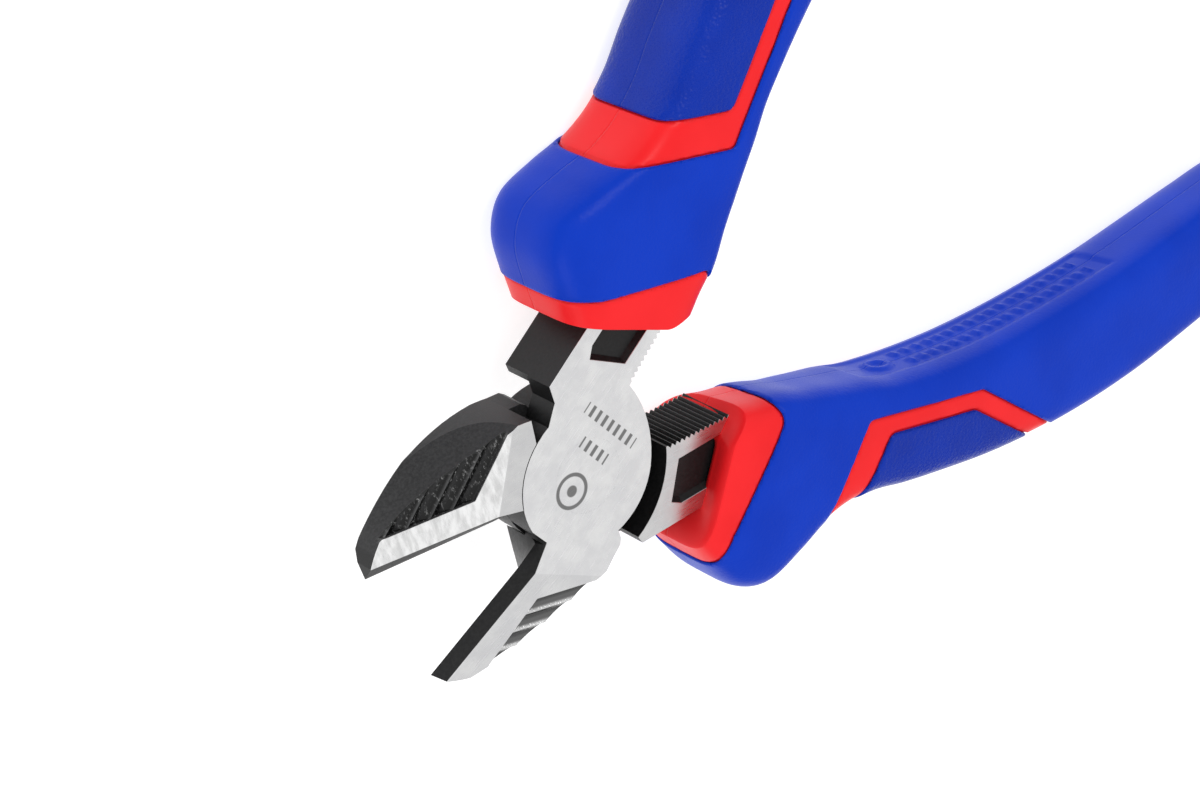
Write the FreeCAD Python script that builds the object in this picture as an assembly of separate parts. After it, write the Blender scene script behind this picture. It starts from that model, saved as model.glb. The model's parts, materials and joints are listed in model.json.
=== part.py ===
"""Diagonal cutting pliers, 180 mm long, with a lap joint and two-component handles.

Two forged steel halves cross at one countersunk rivet. Each half is a jaw, a half-thickness joint
disc and a tang, and each tang is buried in a handle: a hard red core that shows as a collar and as
a ring of stripes, a soft blue skin round it, and a separate blue palm pad inside the ring.

Row frame: X runs forward to the jaw tips, Y to the left, Z up. The origin is on the rivet's axis, on
the ground rear face of the joint. The pliers are modelled part open, as they are used.

Half frame: one half as it lies when the pliers are closed. The rivet is at the origin, z = 0 is the
lap plane, the jaw is at y > 0, the handle at y < 0, and the half's own joint disc is at z > 0. The
front half is placed as it is, and the rear half is turned over about X. The two forgings differ only
in which of their faces has the fluted pocket, the small bevel and the steeper taper: the pliers' front.
"""

import FreeCAD
import Part

import math
import os

Vector = FreeCAD.Vector

# Driving dimensions, in millimetres and degrees
OPEN_ANGLE = 34.3  # between the jaws as modelled
HEAD_HALF = 5.0  # half the head's thickness
LAP_GAP = 0.05  # each joint disc stands this far clear of the lap plane
DISC_R = 11.0  # joint disc
DISC_SEAT_R = 11.15  # wall in the jaw that the other half's disc turns in
JAW_TIP_X = 33.7
HANDLE_END_X = -146.3
EDGE_GAP = 0.03  # each cutting edge stops this far short of the middle
RIVET_R = 4.0
RIVET_RUNNING = 0.04  # radial clearance in the rear half
RIVET_HEAD_R = 5.4
RIVET_HEAD_DEPTH = 1.3

# Jaw faces: they taper towards the tip from a slanted line, the pliers' back less than their front
TAPER_START = (14.2, 3.1)
TAPER_DIRECTION = (0.91, 0.415)
TAPER_SLOPE_FRONT = 0.214
TAPER_SLOPE_BACK = 0.12

# Cutting edge: x, cutting edge z, then where the ground bevel meets the front and the back face (y, z)
BLADE_STATIONS = [
    (10.6, 3.4, (0.25, HEAD_HALF), (0.8, -HEAD_HALF)),
    (15.0, 3.1, (1.55, 4.95), (7.6, -4.9)),
    (34.2, -0.2, (1.95, 1.2), (3.0, -2.95)),
]

# Back wall of the jaw, ruled from a straight line at the front to a bow at the rear; both ends clear it
WALL_FRONT = [(4.5, 14.25), (37.5, 2.98)]
WALL_REAR = [(4.5, 13.2), (23.4, 11.05), (34.6, 0.0)]

# Sunk pocket in each jaw's front face, with flutes across its floor: its edge, and the edge past the jaw
POCKET_DISC_SIDE = [(17.5, 5.1), (28.5, 6.3), (40, 14)]
POCKET_SEAT_SIDE = [(17.5, 5.1), (30.7, 5.3), (40, 6)]
POCKET_BEYOND = [(30, 22), (10.0, 13.0)]
POCKET_DEPTH = 0.3
FLUTE_PITCH = 2.4
FLUTE_R = 1.35
FLUTE_RISE = 0.65  # height of each flute's axis over the pocket's floor
FLUTE_COUNT = 7
FLUTE_ANGLE = 133.7  # plan direction of the flutes

# Tang
TANG_OUTER_Y = -14.6
TANG_INNER_Y = -2.5
TANG_SLOPE = 0.06
SERRATION_START = -13.2
SERRATION_PITCH = 0.86
SERRATION_DEPTH = 0.45
SERRATION_WIDTH = 0.5  # half the notch's width, a little over the tang's edge
SERRATION_COUNT = 14
TANG_PANEL_DEPTH = 0.9
TANG_PANEL_DRAFT = 0.6
BURIED_TANG_HALF = 3.6

# Handle
SKIN = 1.8  # the blue skin's thickness
RED_RECESS = 0.25  # the red bands lie this far under the blue
SECTION_POWER = 3.7
SECTION_POINTS = 20

# Handle stations: outer point, inner point and half thickness of each cross-section
HANDLE_STATIONS = [
    ((-13.8, -19.9), (-24.0, -1.6), 9.2),
    ((-15.9, -24.0), (-28.0, -2.7), 9.7),
    ((-19.2, -29.0), (-33.1, -4.2), 10.0),
    ((-23.8, -31.1), (-37.6, -5.7), 10.0),
    ((-29.5, -29.5), (-41.4, -6.7), 9.9),
    ((-34.6, -27.4), (-45.4, -8.2), 9.8),
    ((-39.6, -26.5), (-49.4, -10.1), 9.7),
    ((-45.3, -26.9), (-53.9, -11.9), 9.7),
    ((-51.7, -28.8), (-59.5, -13.3), 9.7),
    ((-59.2, -30.7), (-65.9, -14.5), 9.6),
    ((-68.1, -32.7), (-73.4, -15.5), 9.5),
    ((-78.6, -34.3), (-82.5, -16.1), 9.3),
    ((-90.0, -35.1), (-93.0, -16.3), 9.1),
    ((-102.0, -34.9), (-104.0, -16.1), 8.9),
    ((-114.0, -33.7), (-115.0, -15.3), 8.6),
    ((-126.0, -32.2), (-126.4, -14.4), 8.3),
    ((-136.0, -31.4), (-136.0, -13.9), 8.0),
    ((-142.2, -30.6), (-142.2, -14.8), 7.3),
    ((-145.4, -28.2), (-145.4, -17.2), 5.4),
    ((HANDLE_END_X, -25.0), (HANDLE_END_X, -20.4), 2.4),
]

# Plan outlines of the handle's colours, as prisms through its thickness
COLLAR_ZONE = [(-8, 4), (-28.4, 4), (-29.3, -3), (-30.9, -6.6), (-20.2, -18.8), (-18.4, -24.5), (-8, -28)]
RING_ZONE = [(-33.6, -42), (-33.6, -27.9), (-46.1, -13.7), (-68.3, -19.8), (-90.5, -42)]
PAD_ZONE = [(-42.1, -42), (-42.1, -26.4), (-49.7, -17.8), (-66.2, -22.3), (-85.9, -42)]
ZONE_HEIGHT = 14.0

# Buried tang: inner edge out to its end, then back along the outer edge
BURIED_TANG = [
    (-18, -4.5), (-33, -10), (-46, -15), (-62, -19.5), (-82, -22.6), (-100, -22.9), (-122, -20.8),
    (-122, -25.4), (-100, -28.3), (-82, -28.4), (-62, -25.6), (-46, -21.5), (-33, -18.3), (-18, -13),
]


def polar(radius, degrees):
    a = math.radians(degrees)
    return (radius * math.cos(a), radius * math.sin(a))


def point(p, z=0.0):
    return Vector(p[0], p[1], z)


def line(a, b):
    return Part.makeLine(point(a), point(b))


def arc(a, through, b):
    return Part.Arc(point(a), point(through), point(b)).toShape()


def slab(edges, low, high):
    """A plan outline of edges at z = 0, raised from low to high."""
    face = Part.Face(Part.Wire(edges))
    face.translate(Vector(0, 0, low))
    return face.extrude(Vector(0, 0, high - low))


def prism(points, low, high):
    edges = [line(a, b) for a, b in zip(points, points[1:] + points[:1])]
    return slab(edges, low, high)


def cylinder(radius, low, high):
    return Part.makeCylinder(radius, high - low, Vector(0, 0, low))


def tang_inner_y(x):
    return TANG_INNER_Y + TANG_SLOPE * (x - SERRATION_START)


# Outlines of one half. The jaw's inner edge, tip and back are the same in both layers.
JAW_TIP = (JAW_TIP_X + 0.2, EDGE_GAP)
JAW_NOSE = (JAW_TIP_X - 0.2, 1.9)
JAW_BACK = (21.2, 11.4)
SHOULDER = (6.9, 12.4)
TANG_END_X = -25.0
TANG_END_INNER = (TANG_END_X, tang_inner_y(TANG_END_X))
TANG_END_OUTER = (TANG_END_X, TANG_OUTER_Y)
SERRATION_FROM = (SERRATION_START, tang_inner_y(SERRATION_START))


def jaw_edges(throat):
    """From the throat along the cutting edge, round the nose and along the back to the shoulder."""
    bite = (throat[0] + 0.5, EDGE_GAP)
    return [
        line(throat, bite),
        line(bite, JAW_TIP),
        line(JAW_TIP, JAW_NOSE),
        arc(JAW_NOSE, (29.7, 6.8), JAW_BACK),
        arc(JAW_BACK, (14.5, 12.8), SHOULDER),
    ]


def disc_layer():
    """The half's own joint disc with its jaw and tang, over the lap plane."""
    throat = polar(DISC_R, 1.5)
    neck = polar(DISC_R, 71.5)
    flank = polar(DISC_R, 125.0)
    heel_meet = polar(DISC_R, -100.0)
    heel = (-6.3, TANG_OUTER_Y)
    kink = (-5.0, -12.2)
    step = (4.9, 12.2)
    edges = [arc(heel_meet, polar(DISC_R, -50.0), throat), *jaw_edges(throat)]
    edges += [line(SHOULDER, step), line(step, (4.1, 11.6)), line((4.1, 11.6), neck)]
    edges += [
        arc(neck, polar(DISC_R, 98.0), flank),
        arc(flank, (-10.5, 4.6), SERRATION_FROM),
        line(SERRATION_FROM, TANG_END_INNER),
        line(TANG_END_INNER, TANG_END_OUTER),
        line(TANG_END_OUTER, heel),
        line(heel, kink),
        line(kink, heel_meet),
    ]
    return slab(edges, LAP_GAP, HEAD_HALF)


def seat_layer():
    """The jaw and the tang under the lap plane, cut away where the other half's disc turns."""
    throat = polar(DISC_SEAT_R, 1.5)
    mouth = (SHOULDER[0], math.sqrt(DISC_SEAT_R**2 - SHOULDER[0] ** 2))
    jaw = jaw_edges(throat) + [line(SHOULDER, mouth), arc(mouth, polar(DISC_SEAT_R, 26.0), throat)]
    start = (SERRATION_START - 0.25, tang_inner_y(SERRATION_START))
    heel_inner = (-6.0, -13.4)
    heel = (-6.5, TANG_OUTER_Y)
    tang = [
        arc(start, (-11.0, -8.95), heel_inner),
        line(heel_inner, heel),
        line(heel, TANG_END_OUTER),
        line(TANG_END_OUTER, TANG_END_INNER),
        line(TANG_END_INNER, start),
    ]
    return [slab(jaw, -HEAD_HALF, LAP_GAP), slab(tang, -HEAD_HALF, LAP_GAP)]


def taper_cutter(side, slope):
    """What lies over the tapered jaw face on one side."""
    across = (-TAPER_DIRECTION[1], TAPER_DIRECTION[0])
    reach, breadth = 30.0, 30.0
    section = []
    for run, z in ((0.0, HEAD_HALF), (reach, HEAD_HALF - slope * reach), (reach, 12.0), (0.0, 12.0)):
        x = TAPER_START[0] + run * TAPER_DIRECTION[0] - breadth * across[0]
        y = TAPER_START[1] + run * TAPER_DIRECTION[1] - breadth * across[1]
        section.append(Vector(x, y, side * z))
    face = Part.Face(Part.makePolygon(section + section[:1]))
    return face.extrude(Vector(2 * breadth * across[0], 2 * breadth * across[1], 0))


def wall_cutter():
    """What lies behind the jaw's back wall."""
    wires = []
    for edge, z in ((WALL_REAR, -HEAD_HALF - 0.01), (WALL_FRONT, HEAD_HALF + 0.01)):
        start, end = edge[0], edge[-1]
        far = [(end[0] + 6, 22), (start[0], 22)]
        inner = arc(*edge) if len(edge) == 3 else line(*edge)
        wire = Part.Wire([inner, line(end, far[0]), line(*far), line(far[1], start)])
        wire.translate(Vector(0, 0, z))
        wires.append(wire)
    return Part.makeLoft(wires, True, True)


def pocket_cutter(edge):
    """The pocket in the front jaw face, with parallel flutes across its floor."""
    along = Vector(*polar(1.0, FLUTE_ANGLE), 0)
    step = Vector(*polar(1.0, FLUTE_ANGLE - 90.0), 0)
    outline = prism(edge + POCKET_BEYOND, -HEAD_HALF, 12)
    floor = taper_cutter(1, TAPER_SLOPE_FRONT)
    floor.translate(Vector(0, 0, -POCKET_DEPTH))
    cutter = floor.common(outline)
    for i in range(FLUTE_COUNT):
        foot = point(edge[0]) + step * (FLUTE_PITCH * (i + 0.5)) - along * 12
        ends = [foot, foot + along * 30]
        for p in ends:
            run = (p.x - TAPER_START[0]) * TAPER_DIRECTION[0] + (p.y - TAPER_START[1]) * TAPER_DIRECTION[1]
            p.z = HEAD_HALF - TAPER_SLOPE_FRONT * run - POCKET_DEPTH + FLUTE_RISE
        axis = ends[1] - ends[0]
        flute = Part.makeCylinder(FLUTE_R, axis.Length, ends[0], axis)
        cutter = cutter.fuse(flute.common(outline))
    return cutter


def blade_cutter(front, back):
    """The ground bevel on one side of the cutting edge, lofted along the jaw."""
    sections = []
    for x, edge_z, *meets in BLADE_STATIONS:
        y, z = meets[back]
        out = math.copysign(4.0, z)
        corners = [(EDGE_GAP, edge_z), (y, z), (y, z + out), (-4.0, z + out), (-4.0, edge_z)]
        points = [Vector(x, cy, front * cz) for cy, cz in corners]
        sections.append(Part.makePolygon(points + points[:1]))
    return Part.makeLoft(sections, True, True)


def serration_cutter():
    """Teeth across the tang's inner edge, where the tangs face each other."""
    teeth = []
    for i in range(SERRATION_COUNT):
        x = SERRATION_START - 0.5 - (i + 0.5) * SERRATION_PITCH
        y = tang_inner_y(x)
        notch = [(x + SERRATION_WIDTH, y + 0.2), (x, y - SERRATION_DEPTH), (x - SERRATION_WIDTH, y + 0.2)]
        teeth.append(prism(notch, -HEAD_HALF - 1, HEAD_HALF + 1))
    return Part.makeCompound(teeth)


def panel_cutter(side):
    """The sunk panel in the tang's face, with drafted walls."""
    top = [(-15.1, -5.3), (-12.5, -11.2), (-14.2, -12.2), (-32, -12.2), (-32, -5.3)]
    draft = TANG_PANEL_DRAFT
    floor = [(-15.5, -5.3 - draft), (-13.4, -10.9), (-14.5, -12.2 + draft), (-32, -12.2 + draft), (-32, -5.3 - draft)]
    z_top, z_floor = side * (HEAD_HALF + 0.01), side * (HEAD_HALF - TANG_PANEL_DEPTH)
    wires = []
    for outline, z in ((floor, z_floor), (top, z_top)):
        points = [point(p, z) for p in outline]
        wires.append(Part.makePolygon(points + points[:1]))
    return Part.makeLoft(wires, True, True)


def rivet(clearance):
    """The rivet with both countersunk heads, or the hole for it with that clearance."""
    radius, head, half = RIVET_R + clearance, RIVET_HEAD_R + clearance, HEAD_HALF
    cone = Part.makeCone(radius, head, RIVET_HEAD_DEPTH, Vector(0, 0, half - RIVET_HEAD_DEPTH))
    foot = cone.mirror(Vector(0, 0, 0), Vector(0, 0, 1))
    return cylinder(radius, -half, half).fuse([cone, foot]).removeSplitter()


def forging(front, clearance):
    """One steel half. front is +1 if its disc side is the pliers' front, where the small bevel is."""
    body = disc_layer().fuse(seat_layer())
    body = body.fuse(prism(BURIED_TANG, -BURIED_TANG_HALF, BURIED_TANG_HALF))
    for back, slope in enumerate((TAPER_SLOPE_FRONT, TAPER_SLOPE_BACK)):
        side = -front if back else front
        body = body.cut(taper_cutter(side, slope))
        body = body.cut(panel_cutter(side))
        body = body.cut(blade_cutter(front, back))
    for cutter in (pocket_cutter(POCKET_DISC_SIDE if front > 0 else POCKET_SEAT_SIDE), wall_cutter()):
        if front < 0:
            cutter = cutter.mirror(Vector(0, 0, 0), Vector(0, 0, 1))
        body = body.cut(cutter)
    body = body.cut(serration_cutter())
    body = body.cut(rivet(clearance))
    return body.removeSplitter()


def handle_section(outer, inner, half, inset):
    """One cross-section of the handle: a closed superellipse from the outer to the inner point."""
    o, i = point(outer), point(inner)
    centre, across = (o + i) * 0.5, (o - i)
    reach = across.Length / 2 - inset
    across.normalize()
    points = []
    for k in range(SECTION_POINTS):
        a = 2 * math.pi * k / SECTION_POINTS
        u = math.copysign(abs(math.cos(a)) ** (2 / SECTION_POWER), math.cos(a))
        v = math.copysign(abs(math.sin(a)) ** (2 / SECTION_POWER), math.sin(a))
        points.append(centre + across * (reach * u) + Vector(0, 0, (half - inset) * v))
    curve = Part.BSplineCurve()
    curve.interpolate(Points=points, PeriodicFlag=True)
    return Part.Wire([curve.toShape()])


def handle_loft(inset, last=None):
    stations = HANDLE_STATIONS[:last]
    return Part.makeLoft([handle_section(*s, inset) for s in stations], True, False)


def handle(steel):
    """The handle's pieces on one half: red core, blue skin and blue palm pad."""
    whole = handle_loft(0.0)
    red = handle_loft(RED_RECESS)
    inner = handle_loft(SKIN, -2)
    collar = prism(COLLAR_ZONE, -ZONE_HEIGHT, ZONE_HEIGHT)
    ring = prism(RING_ZONE, -ZONE_HEIGHT, ZONE_HEIGHT)
    pad_zone = prism(PAD_ZONE, -ZONE_HEIGHT, ZONE_HEIGHT)
    core = red.common(collar.fuse(ring.cut(pad_zone))).fuse(inner).cut(steel)
    shell = whole.cut(inner)
    return {
        "core": core,
        "skin": shell.cut(collar).cut(ring),
        "palm_pad": shell.common(pad_zone),
    }


def place(shape, front):
    """From the half frame to the row frame, with the pliers open."""
    placed = shape.copy()
    if front < 0:
        placed.rotate(Vector(0, 0, 0), Vector(1, 0, 0), 180)
    placed.rotate(Vector(0, 0, 0), Vector(0, 0, 1), front * OPEN_ANGLE / 2)
    placed.translate(Vector(0, 0, HEAD_HALF))
    return placed


def main():
    os.makedirs("parts", exist_ok=True)
    pieces = {"pivot_rivet": place(rivet(0.0), 1)}
    for name, front, clearance in (("front", 1, 0.0), ("rear", -1, RIVET_RUNNING)):
        steel = forging(front, clearance)
        pieces[f"{name}_half_forging"] = place(steel, front)
        for part, shape in handle(steel).items():
            pieces[f"{name}_handle_{part}"] = place(shape, front)
    for name, shape in pieces.items():
        box = shape.BoundBox
        print(f"{name}: valid {shape.isValid()}, {len(shape.Solids)} solids, {shape.Volume / 1000:.2f} cm3,"
              f" x {box.XMin:.1f} to {box.XMax:.1f}, z {box.ZMin:.1f} to {box.ZMax:.1f}")
        shape.exportStep(f"parts/{name}.step")


main()
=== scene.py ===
"""Looks of the diagonal cutting pliers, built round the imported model.

The steel stays as it is in the model and gets its material. The handles are rebuilt here as dense
surfaces: a red core, a blue skin and a blue palm pad on each half, with lips, grooves and a dished
collar. Shapes are worked out in millimetres in the half frame: one half as it lies when the pliers
are closed, rivet at the origin, lap plane at z = 0, jaw at y > 0 and handle at y < 0. "front" is 1
for the front half and -1 for the rear half.
"""
import json
import math

import bmesh
import bpy
import numpy as np
from mathutils import Matrix, Vector


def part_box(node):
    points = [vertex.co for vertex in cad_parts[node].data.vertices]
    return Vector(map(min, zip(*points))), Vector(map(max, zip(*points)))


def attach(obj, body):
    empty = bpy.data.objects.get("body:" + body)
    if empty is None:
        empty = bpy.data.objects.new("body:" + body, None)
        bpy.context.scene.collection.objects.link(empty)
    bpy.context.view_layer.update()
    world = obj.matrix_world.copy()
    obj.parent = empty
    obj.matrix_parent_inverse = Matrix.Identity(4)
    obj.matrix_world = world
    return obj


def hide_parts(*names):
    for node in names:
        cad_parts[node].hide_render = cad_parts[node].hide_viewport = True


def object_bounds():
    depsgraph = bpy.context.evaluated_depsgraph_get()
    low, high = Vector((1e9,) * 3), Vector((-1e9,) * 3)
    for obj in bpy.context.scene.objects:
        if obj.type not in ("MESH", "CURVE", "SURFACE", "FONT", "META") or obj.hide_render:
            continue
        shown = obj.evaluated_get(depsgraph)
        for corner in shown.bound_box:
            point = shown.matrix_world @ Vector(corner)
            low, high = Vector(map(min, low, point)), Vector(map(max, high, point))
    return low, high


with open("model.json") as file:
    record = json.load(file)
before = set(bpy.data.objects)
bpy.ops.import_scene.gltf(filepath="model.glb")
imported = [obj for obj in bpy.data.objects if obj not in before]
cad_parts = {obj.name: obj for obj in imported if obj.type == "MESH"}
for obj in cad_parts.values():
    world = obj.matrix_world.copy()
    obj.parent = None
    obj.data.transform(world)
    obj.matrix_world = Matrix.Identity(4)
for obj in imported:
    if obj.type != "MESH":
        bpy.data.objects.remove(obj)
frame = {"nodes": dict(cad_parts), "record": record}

cad_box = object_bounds()

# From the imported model
MM = 0.001
PIVOT = frame["record"]["behaviour"]["joints"][0]
OPEN_ANGLE = math.radians(PIVOT["range_deg"][1])
HEAD_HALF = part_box("pivot_rivet")[1][2] / 2 / MM
FLOOR_Z = cad_box[0][2]
HALVES = (("front", 1), ("rear", -1))

# The taper of the ground jaw faces, as it is in the model
TAPER_START = (14.2, 3.1)
TAPER_DIRECTION = (0.91, 0.415)
TAPER_SLOPE_FRONT = 0.214
TAPER_SLOPE_BACK = 0.12

# Camera: where it looks, from which side, and its roll, as in the photograph
CAMERA_AIM = (-9.14, -3.85, HEAD_HALF)
CAMERA_AZIMUTH = -63.95
CAMERA_ELEVATION = 46.43
CAMERA_DISTANCE = 407.9
CAMERA_ROLL = 115.99
CAMERA_LENS = 89.77

# Studio: brightness at the horizon and from SKY_TOP up, and the lamps' place, size and power
SKY_LOW = 0.45
SKY_HIGH = 0.98
SKY_TOP = 0.7
FLOOR_SIZE = 6.0
LAMPS = (
    ("key", (-0.35, -0.5, 0.75), 0.35, 2.4),
    ("fill", (0.6, 0.1, 0.4), 0.5, 1.2),
)

# Handle stations: outer point, inner point and half thickness of each cross-section
RIM = ((-13.8, -19.9), (-24.2, -1.3), 9.4)
HANDLE_STATIONS = [
    RIM,
    ((-15.9, -24.0), (-28.0, -2.7), 9.7),
    ((-19.2, -29.0), (-33.1, -4.2), 10.0),
    ((-23.8, -31.1), (-37.6, -6.1), 10.0),
    ((-29.5, -29.5), (-41.4, -7.4), 9.9),
    ((-34.6, -27.4), (-45.4, -8.8), 9.8),
    ((-39.6, -26.5), (-49.4, -10.1), 9.7),
    ((-45.3, -26.9), (-53.9, -11.9), 9.7),
    ((-51.7, -28.8), (-59.5, -13.3), 9.7),
    ((-59.2, -30.7), (-65.9, -14.5), 9.6),
    ((-68.1, -32.7), (-73.4, -15.5), 9.5),
    ((-78.6, -34.3), (-82.5, -16.1), 9.3),
    ((-90.0, -35.1), (-93.0, -16.3), 9.1),
    ((-102.0, -34.9), (-104.0, -16.1), 8.9),
    ((-114.0, -33.7), (-115.0, -15.3), 8.6),
    ((-126.0, -32.2), (-126.4, -14.4), 8.3),
    ((-136.0, -31.4), (-136.0, -13.9), 8.0),
    ((-142.2, -30.6), (-142.2, -14.8), 7.3),
    ((-145.2, -28.2), (-145.2, -17.2), 5.4),
    ((-146.1, -25.0), (-146.1, -20.4), 2.4),
]
FRONT_POWERS = (4.6, 5.0)  # squareness of the section's front corners: outer, inner
REAR_POWERS = (3.5, 2.9)
LEAN = 0.1  # the inner side leans out towards the front
ROW_STEP = 0.5
RING_POINTS = 150
RING_SAMPLES = 1441  # places on a section's curve before its points are spaced evenly

# The collar's front: the rim's rounding, the dish, and the outline where it meets the tang
RIM_ROUND = 1.3
RIM_ROWS = 5
RIM_AHEAD = 0.4  # how far the front face lies ahead of the rim
RIM_SETBACK = 1.9  # how far the rim's inner end lies back
SETBACK_START = 0.5  # where that begins, as a share of the way to the inner end
SETBACK_FADE = 7.0
CAP_DISH = 0.8
CAP_SHARES = (1.0, 0.85, 0.7, 0.55, 0.42, 0.3, 0.2, 0.1)  # rows, from the tang to the rim
CAP_CENTRE = (-19.4, -9.8)
CAP_REACH = 4.9
CAP_HALF = 4.6
CAP_POWERS = ((8.0, 8.0), (8.0, 8.0))

# Plan outlines of the colours, with the radius of their corners
COLLAR_ZONE = (
    [(-8, 6), (-29.8, 6), (-30.6, -2.5), (-31.6, -5.6), (-19.0, -18.6), (-15.4, -23.4), (-8, -27)],
    2.5,
)
RING_ZONE = ([(-33.6, -42), (-33.6, -27.9), (-46.1, -13.7), (-68.3, -19.8), (-90.5, -42)], 1.0)
PAD_ZONE = ([(-42.1, -42), (-42.1, -26.4), (-49.7, -17.8), (-66.2, -22.3), (-85.9, -42)], 1.4)
CORNER_STEPS = 8
STRAIGHT = 1.55  # half the angle of a corner that is as good as straight

# Panel sunk in the handle's inner side, with its ring and its two rows of ribs
PANEL_MIDDLE = -76.0
PANEL_HALF_LENGTH = 26.0
PANEL_HALF_WIDTH = 4.3
PANEL_DEPTH = 0.35
PANEL_SOFT = 0.25
RIB_PITCH = 2.2
RIB_HEIGHT = 0.42
RIB_ROWS = (-1.9, 1.9)
RIB_HALF_WIDTH = 1.0
RIBS_MIDDLE = -80.0
RIBS_HALF_LENGTH = 19.0
BOSS_X = -56.5
BOSS_RADIUS = 1.7
BOSS_HALF_WIDTH = 0.75
BOSS_EDGE = 0.4

# Edges where two colours meet
RED_RECESS = 0.25
GROOVE = 0.35
GROOVE_WIDTH = 0.35
TUCK = 0.9  # how far the red runs on under the blue
LIP = 0.3
LIP_LEVELS = (-LIP, -0.6 * LIP, -0.3 * LIP, -0.08 * LIP, 0.0)
CORE_LEVELS = (-GROOVE_WIDTH, -0.22, -0.1, 0.0, TUCK)
CUT_NEAR = 0.02  # vertices this near a level are put on it
CUT_MARGIN = 1.5  # faces this far outside a zone are made, then cut back
SHELL = 1.1

# Pieces of a handle: the field's limit, the levels to cut and the slot
PIECES = {
    "core": (TUCK, CORE_LEVELS, "red_plastic"),
    "skin": (0.0, LIP_LEVELS, "blue_skin"),
    "palm_pad": (0.0, LIP_LEVELS, "blue_pad"),
}


# ---------------------------------------------------------------- shapes

def smooth(t):
    return t * t * (3 - 2 * t)


def half_to_row(front):
    """The matrix from the half frame, in millimetres, to the row frame, in metres, at rest."""
    turn = Matrix.Rotation(front * OPEN_ANGLE / 2, 4, "Z")
    if front < 0:
        turn = turn @ Matrix.Rotation(math.pi, 4, "X")
    return Matrix.Scale(MM, 4) @ Matrix.Translation((0, 0, HEAD_HALF)) @ turn


def spline(at, knots, values):
    """Smooth curve through values at knots, read at the given places."""
    slopes = np.gradient(values, knots, axis=0)
    i = np.clip(np.searchsorted(knots, at, side="right") - 1, 0, len(knots) - 2)
    h = (knots[i + 1] - knots[i])[:, None]
    t = ((at - knots[i])[:, None]) / h
    a, b = values[i], values[i + 1]
    return (
        (2 * t**3 - 3 * t**2 + 1) * a + (t**3 - 2 * t**2 + t) * h * slopes[i]
        + (3 * t**2 - 2 * t**3) * b + (t**3 - t**2) * h * slopes[i + 1]
    )


def ring(centre, across, half, powers, lean=0.0):
    """A closed superellipse in a vertical plane, as evenly spaced points from its outer side round."""
    a = np.linspace(0, 2 * math.pi, RING_SAMPLES)
    c, s = np.cos(a), np.sin(a)
    upper, lower = powers
    power = np.where(s > 0, np.where(c > 0, *upper), np.where(c > 0, *lower))
    u = np.sign(c) * np.abs(c) ** (2 / power)
    v = np.sign(s) * np.abs(s) ** (2 / power)
    u = u + np.minimum(u, 0) * lean * v
    curve = np.column_stack([centre[0] + across[0] * u, centre[1] + across[1] * u, half * v])
    steps = np.linalg.norm(np.diff(curve, axis=0), axis=1)
    run = np.concatenate([[0], np.cumsum(steps)])
    even = np.linspace(0, run[-1], RING_POINTS + 1)[:-1]
    return np.column_stack([np.interp(even, run, curve[:, k]) for k in range(3)])


def section(outer, inner, half, front):
    """The handle's cross-section at one station."""
    outer, inner = np.array(outer), np.array(inner)
    powers = (FRONT_POWERS, REAR_POWERS)[::front]
    return ring((outer + inner) / 2, (outer - inner) / 2, half, powers, front * LEAN)


def rim_frame():
    """The rim's half width, the direction out across it, and the direction ahead of it."""
    outer, inner = np.array(RIM[0]), np.array(RIM[1])
    width = np.linalg.norm(outer - inner)
    across = (outer - inner) / width
    ahead = np.array([-across[1], across[0], 0.0])
    return width / 2, across, ahead


def cap_rows(front):
    """Rows from the tang out over the collar's front to its rim and round it."""
    _, across, ahead = rim_frame()
    rim = section(*RIM, front)
    middle = rim.mean(axis=0)
    inward = middle - rim
    inward /= np.linalg.norm(inward, axis=1)[:, None]
    edge = rim + inward * RIM_ROUND
    foot = ring(CAP_CENTRE, across * CAP_REACH, CAP_HALF, CAP_POWERS)
    foot -= ahead * ((foot - middle) @ ahead)[:, None]
    rows = []
    for w in CAP_SHARES:
        rows.append(edge * (1 - w) + foot * w + ahead * (RIM_AHEAD - CAP_DISH * smooth(w)))
    for step in range(RIM_ROWS):
        turn = math.pi / 2 * step / RIM_ROWS
        back = inward * RIM_ROUND * (1 - math.sin(turn))
        rows.append(rim + back + ahead * RIM_AHEAD * math.cos(turn))
    return rows


def set_back(row):
    """The collar's rim laid back towards its inner end, fading out behind it."""
    reach, across, ahead = rim_frame()
    middle = np.array([*(np.array(RIM[0]) + np.array(RIM[1])) / 2, 0.0])
    behind = (middle - row) @ ahead
    inward = -(row - middle)[:, :2] @ across / reach
    inward = np.clip((inward - SETBACK_START) / (1 - SETBACK_START), 0, 1)
    fade = np.clip(1 - np.maximum(behind, 0) / SETBACK_FADE, 0, 1)
    return row - ahead * (RIM_SETBACK * smooth(inward) * fade)[:, None]


def handle_rows(front):
    """All rows of the handle's surface, from the tang to the tail."""
    values = np.array([[*outer, *inner, half] for outer, inner, half in HANDLE_STATIONS])
    middles = (values[:, 0:2] + values[:, 2:4]) / 2
    steps = np.linalg.norm(np.diff(middles, axis=0), axis=1)
    knots = np.concatenate([[0], np.cumsum(steps)])
    at = np.linspace(0, knots[-1], int(knots[-1] / ROW_STEP))
    rows = cap_rows(front)
    for v in spline(at, knots, values):
        rows.append(section(v[0:2], v[2:4], v[4], front))
    return [set_back(row) for row in rows]


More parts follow.
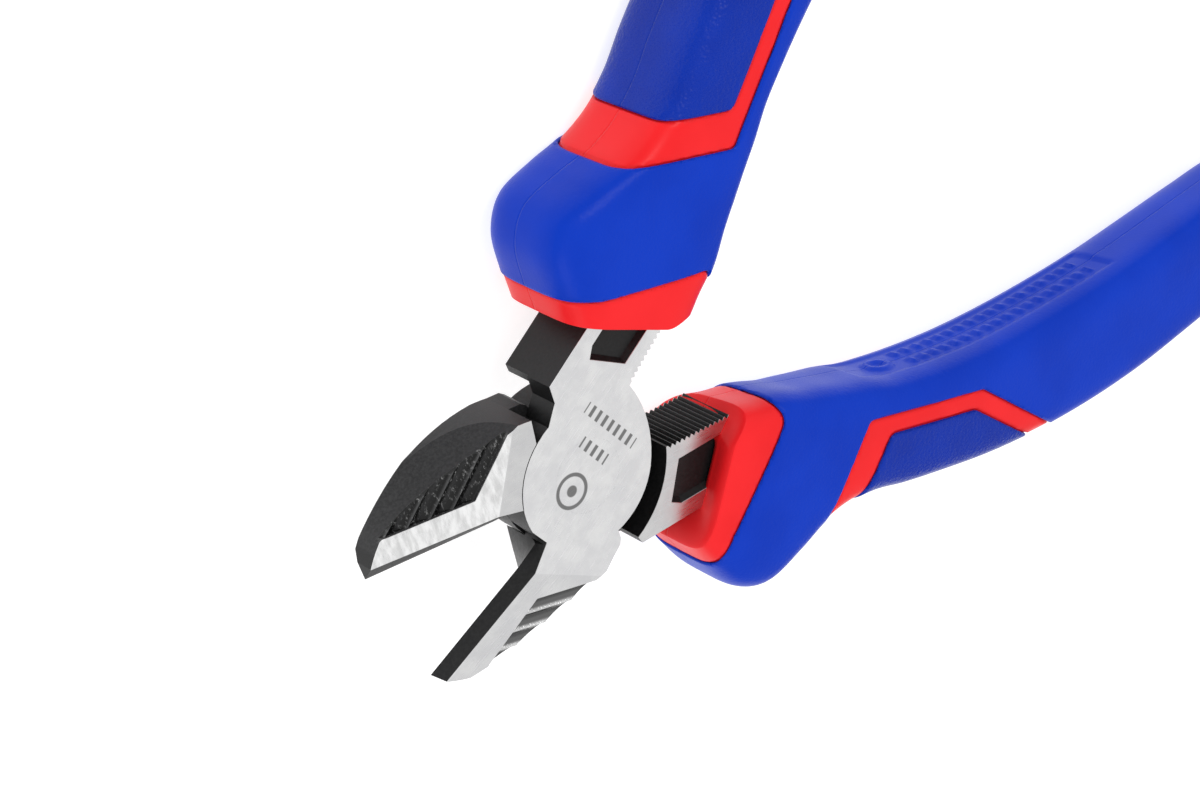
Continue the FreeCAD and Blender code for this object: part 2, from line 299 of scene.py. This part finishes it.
def rounded(outline):
    """A polygon with its corners turned into arcs."""
    points, radius = outline
    points = [np.array(p, float) for p in points]
    out = []
    for i, p in enumerate(points):
        a, b = points[i - 1] - p, points[(i + 1) % len(points)] - p
        la, lb = np.linalg.norm(a), np.linalg.norm(b)
        a, b = a / la, b / lb
        half = math.acos(float(np.clip(a @ b, -1, 1))) / 2
        back = min(radius / math.tan(half), 0.45 * la, 0.45 * lb) if half < STRAIGHT else 0.0
        for k in range(CORNER_STEPS + 1):
            t = k / CORNER_STEPS
            start, end = p + a * back, p + b * back
            out.append((1 - t) ** 2 * start + 2 * t * (1 - t) * p + t**2 * end)
    return np.array(out)


def signed_distance(xy, polygon):
    """Distance from each plan point to a closed outline, negative inside it."""
    best = np.full(len(xy), 1e9)
    inside = np.zeros(len(xy), bool)
    for a, b in zip(polygon, np.roll(polygon, -1, axis=0)):
        edge = b - a
        length = edge @ edge
        if length < 1e-12:
            continue
        t = np.clip(((xy - a) @ edge) / length, 0, 1)
        best = np.minimum(best, np.linalg.norm(xy - a - t[:, None] * edge, axis=1))
        crosses = (a[1] > xy[:, 1]) != (b[1] > xy[:, 1])
        with np.errstate(divide="ignore", invalid="ignore"):
            x = a[0] + (xy[:, 1] - a[1]) * edge[0] / edge[1]
        inside ^= crosses & (xy[:, 0] < x)
    return np.where(inside, -best, best)


def zone_fields(points):
    """How far each point is from the red, skin and pad zones, negative inside."""
    collar, ring_out, pad = (
        signed_distance(points[:, :2], rounded(zone)) for zone in (COLLAR_ZONE, RING_ZONE, PAD_ZONE)
    )
    return {
        "core": np.minimum(collar, np.maximum(ring_out, -pad)),
        "skin": np.maximum(-collar, -ring_out),
        "palm_pad": pad,
    }


def cut_level(bm, layer, level):
    """Puts an edge loop where the field crosses a level."""
    for v in bm.verts:
        if abs(v[layer] - level) < CUT_NEAR:
            v[layer] = level
    crossing = []
    for e in bm.edges:
        a, b = e.verts
        if (a[layer] - level) * (b[layer] - level) < 0:
            crossing.append(e)
    touched = set()
    for e in crossing:
        a, b = e.verts
        t = (level - a[layer]) / (b[layer] - a[layer])
        _, new = bmesh.utils.edge_split(e, a, t)
        new[layer] = level
        touched.update(new.link_faces)
    for v in list(bm.verts):
        if v[layer] == level:
            touched.update(v.link_faces)
    for face in touched:
        on = [v for v in face.verts if v[layer] == level]
        if len(on) != 2 or len(face.verts) < 4:
            continue
        a, b = on
        if any(a in e.verts and b in e.verts for e in face.edges):
            continue
        bmesh.utils.face_split(face, a, b)


def lip_profile(f):
    """Height of a blue edge: a quarter round over its last bit."""
    t = np.clip(1 + f / LIP, 0, 1)
    return -LIP * (1 - np.sqrt(np.clip(1 - t * t, 0, 1)))


def core_profile(f):
    """Height of the red: under the blue, with a groove just inside its edge."""
    return -RED_RECESS - GROOVE * smooth(np.clip(1 + f / GROOVE_WIDTH, 0, 1))


def box_share(a, b, half_a, half_b):
    """1 inside a rectangle about the origin and 0 outside it, with a soft edge."""
    far = np.maximum(np.abs(a) - half_a, np.abs(b) - half_b)
    return np.clip(0.5 - far / (2 * PANEL_SOFT), 0, 1)


def inner_panel(at, normals):
    """The sunk panel on the handle's inner side, with a raised ring and two rows of short ribs."""
    x, z = at[:, 0], at[:, 2]
    facing = np.clip((normals[:, 1] - 0.5) / 0.3, 0, 1)
    relief = -PANEL_DEPTH * box_share(x - PANEL_MIDDLE, z, PANEL_HALF_LENGTH, PANEL_HALF_WIDTH)
    wave = np.abs((x / RIB_PITCH) % 1.0 - 0.5) * 2
    rib = RIB_HEIGHT * np.clip((wave - 0.35) / 0.3, 0, 1)
    for row in RIB_ROWS:
        relief += rib * box_share(x - RIBS_MIDDLE, z - row, RIBS_HALF_LENGTH, RIB_HALF_WIDTH)
    off = np.abs(np.hypot(x - BOSS_X, z) - BOSS_RADIUS)
    relief += RIB_HEIGHT * np.clip((BOSS_HALF_WIDTH - off) / BOSS_EDGE, 0, 1)
    return facing * relief


def patch(rows, zone):
    """The part of the handle's surface in one zone, with its edges shaped."""
    limit, levels, _ = PIECES[zone]
    count = len(rows[0])
    points = np.vstack(rows)
    field = zone_fields(points)[zone]
    bm = bmesh.new()
    layer = bm.verts.layers.float.new("field")
    verts = []
    for p, f in zip(points, field):
        v = bm.verts.new(p)
        v[layer] = f
        verts.append(v)
    for r in range(len(rows) - 1):
        for k in range(count):
            a, b = r * count + k, r * count + (k + 1) % count
            quad = [a, b, b + count, a + count]
            if min(field[q] for q in quad) < limit + CUT_MARGIN:
                bm.faces.new([verts[q] for q in quad])
    if zone == "skin":  # the tail's end
        bm.faces.new(verts[-count:])
    bmesh.ops.delete(bm, geom=[v for v in bm.verts if not v.link_faces], context="VERTS")
    for level in levels:
        cut_level(bm, layer, level)
    outside = [f for f in bm.faces if sum(v[layer] for v in f.verts) / len(f.verts) > limit]
    bmesh.ops.delete(bm, geom=outside, context="FACES")

    bmesh.ops.recalc_face_normals(bm, faces=bm.faces)
    bm.normal_update()
    bm.verts.index_update()
    at = np.array([v.co[:] for v in bm.verts])
    normals = np.array([v.normal[:] for v in bm.verts])
    if np.mean(normals[:, 2] * (at - at.mean(axis=0))[:, 2]) < 0:
        bmesh.ops.reverse_faces(bm, faces=bm.faces)
        normals = -normals
    values = np.array([v[layer] for v in bm.verts])
    height = (core_profile if zone == "core" else lip_profile)(values)
    if zone == "skin":
        height = height + inner_panel(at, normals)
    at = at + normals * height[:, None]
    for v, p in zip(bm.verts, at):
        v.co = p
    return bm


def finish_mesh(bm, name, front, material):
    """The surface given its thickness, moved into the row frame as an object."""
    bm.transform(half_to_row(front))
    mesh = bpy.data.meshes.new(name)
    bm.to_mesh(mesh)
    bm.free()
    for polygon in mesh.polygons:
        polygon.use_smooth = True
    mesh.materials.append(material)
    piece = bpy.data.objects.new(name, mesh)
    bpy.context.scene.collection.objects.link(piece)
    solid = piece.modifiers.new("thickness", "SOLIDIFY")
    solid.thickness = SHELL * MM
    solid.offset = -1
    solid.use_even_offset = False
    return piece


# ---------------------------------------------------------------- materials

def grey(level, blue=None):
    return (level, level, level if blue is None else blue, 1)


class Nodes:
    """A short way to write a material's node tree."""

    def __init__(self, name):
        self.material = bpy.data.materials.new(name)
        self.material.use_nodes = True
        self.tree = self.material.node_tree
        self.shader = self.tree.nodes["Principled BSDF"]

    def add(self, kind, *inputs, **settings):
        node = self.tree.nodes.new(kind)
        for key, value in settings.items():
            setattr(node, key, value)
        for i, value in enumerate(inputs):
            self.put(node.inputs[i], value)
        return node

    def put(self, socket, value):
        if isinstance(value, bpy.types.NodeSocket):
            self.tree.links.new(value, socket)
        else:
            socket.default_value = value

    def math(self, operation, *inputs):
        return self.add("ShaderNodeMath", *inputs, operation=operation).outputs[0]

    def plus(self, a, b):
        return self.math("ADD", a, b)

    def minus(self, a, b):
        return self.math("SUBTRACT", a, b)

    def times(self, a, b):
        return self.math("MULTIPLY", a, b)

    def largest(self, first, *others):
        for value in others:
            first = self.math("MAXIMUM", first, value)
        return first

    def ramp(self, value, low, high, to_low=0.0, to_high=1.0):
        inputs = (value, low, high, to_low, to_high)
        return self.add("ShaderNodeMapRange", *inputs, interpolation_type="SMOOTHSTEP").outputs[0]

    def mix(self, factor, a, b):
        """A mix of two colours."""
        node = self.add("ShaderNodeMix", data_type="RGBA")
        for i, value in ((0, factor), (6, a), (7, b)):
            self.put(node.inputs[i], value)
        return node.outputs[2]

    def mix_value(self, factor, a, b):
        node = self.add("ShaderNodeMix", data_type="FLOAT")
        for i, value in ((0, factor), (2, a), (3, b)):
            self.put(node.inputs[i], value)
        return node.outputs[0]

    def mapping(self, vector, turn, scale):
        return self.add("ShaderNodeMapping", vector, (0, 0, 0), turn, scale).outputs[0]

    def noise(self, vector, scale, detail=3.0, rough=0.5):
        node = self.add("ShaderNodeTexNoise")
        self.put(node.inputs["Vector"], vector)
        node.inputs["Scale"].default_value = scale
        node.inputs["Detail"].default_value = detail
        node.inputs["Roughness"].default_value = rough
        return node.outputs["Fac"]

    def bump(self, height, strength, distance):
        node = self.add("ShaderNodeBump")
        node.inputs["Strength"].default_value = strength
        node.inputs["Distance"].default_value = distance
        self.put(node.inputs["Height"], height)
        return node.outputs[0]

    def set(self, **values):
        for name, value in values.items():
            self.put(self.shader.inputs[name.replace("_", " ")], value)


def half_coordinates(n, front):
    """A steel half's place in the half frame in millimetres, its x and y, and the height in the row
    frame over the head's middle."""
    where = n.add("ShaderNodeTexCoord").outputs["Object"]
    turn = (0 if front > 0 else math.pi, 0, -OPEN_ANGLE / 2)
    plan = n.mapping(where, turn, (1 / MM,) * 3)
    xyz = n.add("ShaderNodeSeparateXYZ", plan)
    row = n.add("ShaderNodeSeparateXYZ", where)
    up = n.minus(n.times(row.outputs[2], 1 / MM), HEAD_HALF)
    return plan, xyz.outputs[0], xyz.outputs[1], up


def taper_run(n, x, y):
    """How far along the ground faces' taper a place lies, 0 before its start."""
    along = n.times(n.minus(x, TAPER_START[0]), TAPER_DIRECTION[0])
    over = n.times(n.minus(y, TAPER_START[1]), TAPER_DIRECTION[1])
    return n.largest(n.plus(along, over), 0.0)


def below_face(n, run, slope, height):
    """How deep a place lies under a ground face."""
    return n.minus(n.minus(HEAD_HALF, n.times(run, slope)), height)


def over_back(n, x, y):
    """Positive over the jaw's flutes: past the lines that bound the pocket."""
    low = n.minus(y, 5.0)
    left = n.minus(n.plus(n.times(x, 0.725), n.times(y, 0.69)), 16.15)
    return n.math("MINIMUM", low, left)


def flute_colour_and_shading(n, plan, depth, front):
    """The pocket's tone by depth: in front, bright bands of painted reflection on the ribs and grey
    painted shade in the grooves; behind, black oxide with painted shade deeper down and grey specks of
    painted glints.
    """
    if front > 0:
        # painted reflection bright on the ribs' tops, painted shade darker down in the grooves
        return n.mix(n.ramp(depth, 0.35, 0.8), grey(0.66), grey(0.13))
    # black oxide, darkened deeper in the grooves as painted shade
    black = n.mix(n.ramp(depth, 0.3, 0.75), grey(0.05, 0.051), grey(0.003))
    rough = n.mapping(plan, (0, 0, 0.35), (1.5, 0.7, 1.0))
    # painted glints: grey specks on the black
    painted_glints = n.ramp(n.noise(rough, 1.5, 5.0, 0.75), 0.54, 0.72, 0.0, 0.5)
    return n.mix(painted_glints, black, grey(0.5))


def ground_look(n, plan):
    """Streaks and slightly mottled tone of a ground face."""
    turned = n.mapping(plan, (0, 0, 0.6), (0.25, 3.0, 1.0))
    streaks = n.noise(turned, 1.4, 6.0)
    cloud = n.noise(plan, 0.35, 4.0, 0.6)
    return streaks, n.mix(n.ramp(cloud, 0.35, 0.7), grey(0.70, 0.71), grey(0.78))


def rear_tone(n, plan, run, bright):
    """The rear half's ground tone: painted shade dulls it where it is flat, and a painted highlight
    over a streaky mottle brightens it on the taper.
    """
    drawn = n.mapping(plan, (0, 0, 0.35), (2.2, 0.7, 1.0))
    # painted highlight on the taper facet, over the steel's own streaky mottle
    taper_highlight_and_mottle = n.mix(n.ramp(n.noise(drawn, 0.6, 4.0, 0.55), 0.3, 0.7), grey(0.66), grey(0.91))
    # painted shade: the flat face's ground tone pulled 30% towards dark grey
    return n.mix(n.ramp(run, 0.0, 0.12), n.mix(0.3, bright, grey(0.35)), taper_highlight_and_mottle)


def etched(n, x, y):
    """Plain etched marks on the joint disc: a ring round a spot, and two rows of short bars."""
    def bars(centre_x, centre_y, length, height=1.7, pitch=1.4):
        u, v = n.minus(y, centre_y), n.minus(x, centre_x)
        stripe = n.ramp(n.math("PINGPONG", u, pitch / 2), pitch * 0.17, pitch * 0.27, 1.0, 0.0)
        outside = n.largest(
            n.minus(n.math("ABSOLUTE", u), length / 2), n.minus(n.math("ABSOLUTE", v), height / 2)
        )
        return n.times(n.ramp(outside, -0.06, 0.06, 1.0, 0.0), stripe)

    dx, dy = n.minus(x, 3.0), n.plus(y, 1.0)
    far = n.math("SQRT", n.plus(n.times(dx, dx), n.times(dy, dy)))
    ring_line = n.ramp(n.math("ABSOLUTE", n.minus(far, 2.4)), 0.2, 0.36, 1.0, 0.0)
    spot = n.ramp(far, 0.75, 0.95, 1.0, 0.0)
    return n.largest(ring_line, spot, bars(-7.3, -1.5, 11.0), bars(-3.2, -1.6, 5.6))


def steel(name, front):
    """Forged steel: ground bright where it is on a face, black oxide elsewhere, with painted
    reflections, glints and shade in the flutes, painted shade on the jaw's bevel and, on the rear
    half, a painted highlight on the taper.
    """
    n = Nodes(name)
    plan, x, y, up = half_coordinates(n, front)
    run = taper_run(n, x, y)
    depth = below_face(n, run, TAPER_SLOPE_FRONT, up)
    depth_back = below_face(n, run, TAPER_SLOPE_BACK, n.times(up, -1.0))
    ground = n.largest(*(n.ramp(d, 0.03, 0.09, 1.0, 0.0) for d in (depth, depth_back)))
    sunk = n.times(n.ramp(over_back(n, x, y), -0.15, 0.15), n.minus(1.0, ground))
    sunk = n.times(sunk, n.ramp(depth, 0.95, 1.1, 1.0, 0.0))

    streaks, bright = ground_look(n, plan)
    if front > 0:
        bright = n.mix(n.times(etched(n, x, y), ground), bright, grey(0.20))
    else:
        bright = rear_tone(n, plan, run, bright)
    oxide_grain = n.noise(plan, 2.2, 5.0, 0.65)
    oxide = n.mix(n.ramp(oxide_grain, 0.3, 0.75), grey(0.010, 0.011), grey(0.030, 0.031))
    # painted shade: below y = 3.2 to 4.0 mm, where the jaw's bevel lies, the oxide is pulled towards
    # black
    oxide = n.mix(n.ramp(y, 3.2, 4.0, 0.6, 0.0), oxide, grey(0.004))
    dark_rough = n.mix_value(sunk, n.ramp(oxide_grain, 0.2, 0.8, 0.34, 0.5), 0.17)
    dark_metal = n.mix_value(sunk, 0.2, 0.9 if front > 0 else 0.0)
    fine = n.noise(plan, 9.0, 4.0, 0.7)
    lumps = n.times(n.noise(plan, 2.6, 3.0, 0.6), 6.0)
    height = n.mix_value(ground, n.mix_value(sunk, fine, lumps), n.times(streaks, 0.25))
    n.set(
        Base_Color=n.mix(ground, n.mix(sunk, oxide, flute_colour_and_shading(n, plan, depth, front)), bright),
        Metallic=n.mix_value(ground, dark_metal, 1.0),
        Roughness=n.mix_value(ground, dark_rough, n.ramp(streaks, 0.3, 0.7, 0.26, 0.36)),
        Normal=n.bump(height, 0.25, 0.00003),
        Specular_IOR_Level=0.3,
    )
    return n.material


def rivet_steel():
    """Ground flush with the disc, so it has the front steel's ground look."""
    n = Nodes("rivet_steel")
    plan, x, y, _ = half_coordinates(n, 1)
    streaks, bright = ground_look(n, plan)
    n.set(
        Base_Color=n.mix(etched(n, x, y), bright, grey(0.20)),
        Roughness=n.ramp(streaks, 0.3, 0.7, 0.26, 0.36),
        Metallic=1.0,
        Normal=n.bump(n.times(streaks, 0.25), 0.2, 0.00003),
    )
    return n.material


def plastic(name, dark, light, rough, specular, grain_scale, grain, cells=0.0, pebbles=0.0):
    """Moulded plastic: a fine grain over slow changes of tone, and the mould's parting line at mid
    height."""
    n = Nodes(name)
    where = n.add("ShaderNodeTexCoord").outputs["Object"]
    millimetres = n.mapping(where, (0, 0, 0), (1 / MM,) * 3)
    tone = n.noise(millimetres, 0.08, 3.0)
    fine = n.noise(millimetres, grain_scale, 3.0, 0.6)
    level = n.add("ShaderNodeSeparateXYZ", millimetres).outputs[2]
    off = n.math("ABSOLUTE", n.minus(level, HEAD_HALF))
    height = n.times(fine, grain)
    if cells:
        voronoi = n.add("ShaderNodeTexVoronoi", feature="SMOOTH_F1")
        n.put(voronoi.inputs["Vector"], millimetres)
        voronoi.inputs["Scale"].default_value = cells
        pebble = n.times(voronoi.outputs["Distance"], pebbles)
        height = n.plus(n.times(pebble, n.ramp(off, 3.0, 8.0, 0.25, 1.0)), height)
    height = n.minus(height, n.ramp(off, 0.05, 0.22, 1.2, 0.0))
    n.set(
        Base_Color=n.mix(n.ramp(tone, 0.3, 0.7), dark, light),
        Roughness=n.ramp(fine, 0.25, 0.75, rough - 0.05, rough + 0.07),
        Normal=n.bump(height, 1.0, 0.00006),
        Specular_IOR_Level=specular,
    )
    return n.material


def handle_colours():
    return {
        "core": plastic(
            "red_plastic", (0.76, 0.010, 0.013, 1), (0.83, 0.014, 0.018, 1), 0.34, 0.16, 6.0, 0.05
        ),
        "skin": plastic(
            "blue_skin", (0.001, 0.032, 0.42, 1), (0.002, 0.038, 0.47, 1), 0.33, 0.09, 5.0, 0.15,
            cells=2.2, pebbles=0.5,
        ),
        "palm_pad": plastic(
            "blue_pad", (0.001, 0.021, 0.29, 1), (0.001, 0.027, 0.35, 1), 0.28, 0.14, 5.0, 0.3,
            cells=2.1, pebbles=2.0,
        ),
    }


# ---------------------------------------------------------------- the scene

def handle(name, front, body, rows, colours):
    """One handle's three pieces, each on its half's body in place of the model's own piece."""
    for part, (_, _, slot) in PIECES.items():
        piece = finish_mesh(patch(rows, part), f"{name}_{part}_surface", front, colours[part])
        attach(piece, body)
        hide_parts(f"{name}_handle_{part}")


def sky():
    """Soft white light from all round, brighter from above."""
    world = bpy.data.worlds.new("studio")
    bpy.context.scene.world = world
    world.use_nodes = True
    nodes, links = world.node_tree.nodes, world.node_tree.links
    background = nodes["Background"]
    background.inputs[0].default_value = grey(1.0)
    where = nodes.new("ShaderNodeTexCoord")
    parts = nodes.new("ShaderNodeSeparateXYZ")
    level = nodes.new("ShaderNodeMapRange")
    for socket, value in zip(level.inputs[1:5], (0.0, SKY_TOP, SKY_LOW, SKY_HIGH)):
        socket.default_value = value
    links.new(where.outputs["Generated"], parts.inputs[0])
    links.new(parts.outputs[2], level.inputs[0])
    links.new(level.outputs[0], background.inputs[1])


def studio():
    """The sky, a pale floor and two soft lamps."""
    bpy.context.scene.view_settings.view_transform = "Standard"
    sky()
    bpy.ops.mesh.primitive_plane_add(size=FLOOR_SIZE, location=(0, 0, FLOOR_Z))
    floor = bpy.context.object
    floor.name = "floor"
    n = Nodes("floor")
    n.set(Base_Color=grey(0.5), Roughness=0.9, Emission_Color=grey(1), Emission_Strength=0.75)
    floor.data.materials.append(n.material)

    for name, place, size, power in LAMPS:
        lamp = bpy.data.lights.new(name, "AREA")
        lamp.size = size
        lamp.energy = power
        light = bpy.data.objects.new(name, lamp)
        light.location = place
        light.rotation_mode = "QUATERNION"
        light.rotation_quaternion = (-Vector(place)).to_track_quat("-Z", "Y")
        bpy.context.scene.collection.objects.link(light)


def camera():
    """The camera at the photograph's viewing angle."""
    azimuth, elevation = math.radians(CAMERA_AZIMUTH), math.radians(CAMERA_ELEVATION)
    level = math.cos(elevation)
    back = Vector((math.cos(azimuth) * level, math.sin(azimuth) * level, math.sin(elevation)))
    data = bpy.data.cameras.new("camera")
    data.lens = CAMERA_LENS
    data.clip_start = 0.01
    cam = bpy.data.objects.new("camera", data)
    cam.rotation_mode = "QUATERNION"
    cam.location = Vector(CAMERA_AIM) * MM + back * CAMERA_DISTANCE * MM
    upright = (-back).to_track_quat("-Z", "Y").to_matrix().to_4x4()
    roll = Matrix.Rotation(math.radians(CAMERA_ROLL), 4, "Z")
    cam.rotation_quaternion = (upright @ roll).to_quaternion()
    bpy.context.scene.collection.objects.link(cam)
    bpy.context.scene.camera = cam


def main():
    camera()
    studio()
    steels = {f"{name}_half_forging": steel(f"{name}_steel", front) for name, front in HALVES}
    steels["pivot_rivet"] = rivet_steel()
    for node, material in steels.items():
        materials = frame["nodes"][node].data.materials
        materials.clear()
        materials.append(material)
    colours = handle_colours()
    for name, front in HALVES:
        handle(name, front, f"{name}_half", handle_rows(front), colours)


main()
